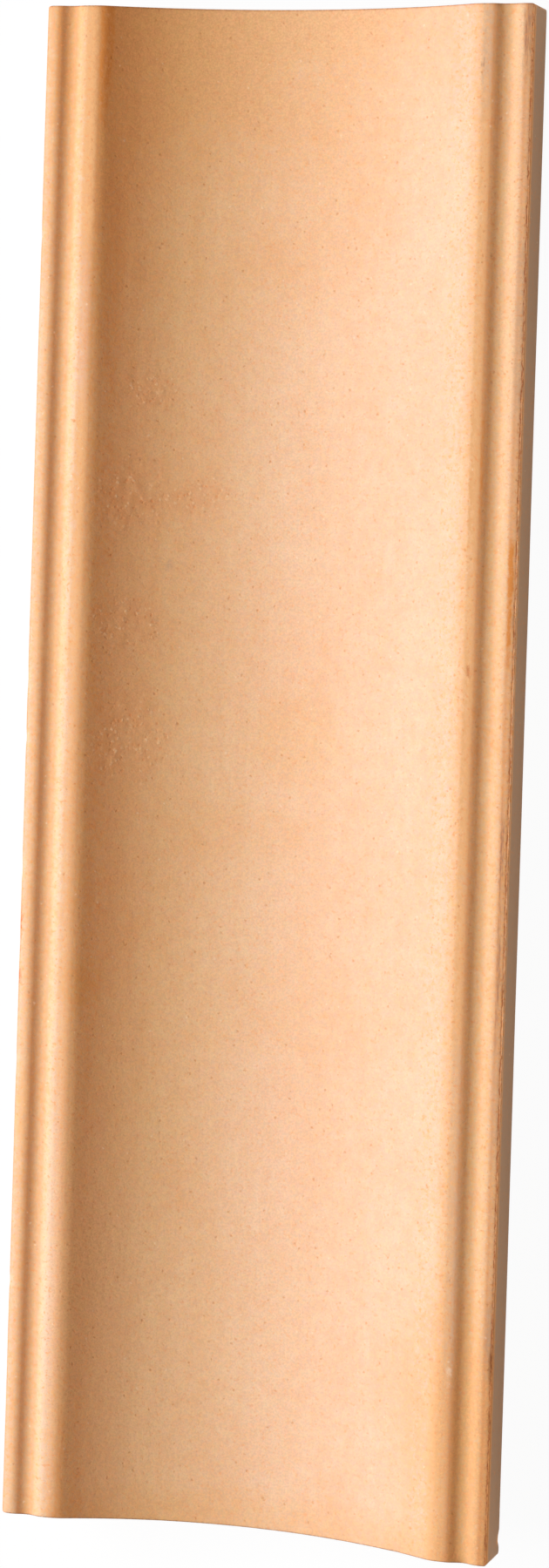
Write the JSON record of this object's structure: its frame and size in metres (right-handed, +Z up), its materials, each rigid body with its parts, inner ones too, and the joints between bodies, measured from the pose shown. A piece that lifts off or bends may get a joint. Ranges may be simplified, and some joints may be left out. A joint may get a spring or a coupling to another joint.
{
  "type": "clay roof tile",
  "caption": "Long narrow fired clay roof tile with a shallow hollow channel between moulded rims, each with a rounded ridge, a groove and an outer bead; carries rain water down a roof.",
  "frame": {"origin": "on the ground under the middle of the tile's belly", "axes": "+Y along the tile's length, +X across it, +Z up out of the hollow side"},
  "size_m": [0.166, 0.5, 0.0294],
  "materials": {
    "fired_clay": "matt unglazed fired clay, sandy and finely pitted"
  },
  "bodies": {
    "root": {"roof_tile": "fired_clay"}
  },
  "joints": []
}
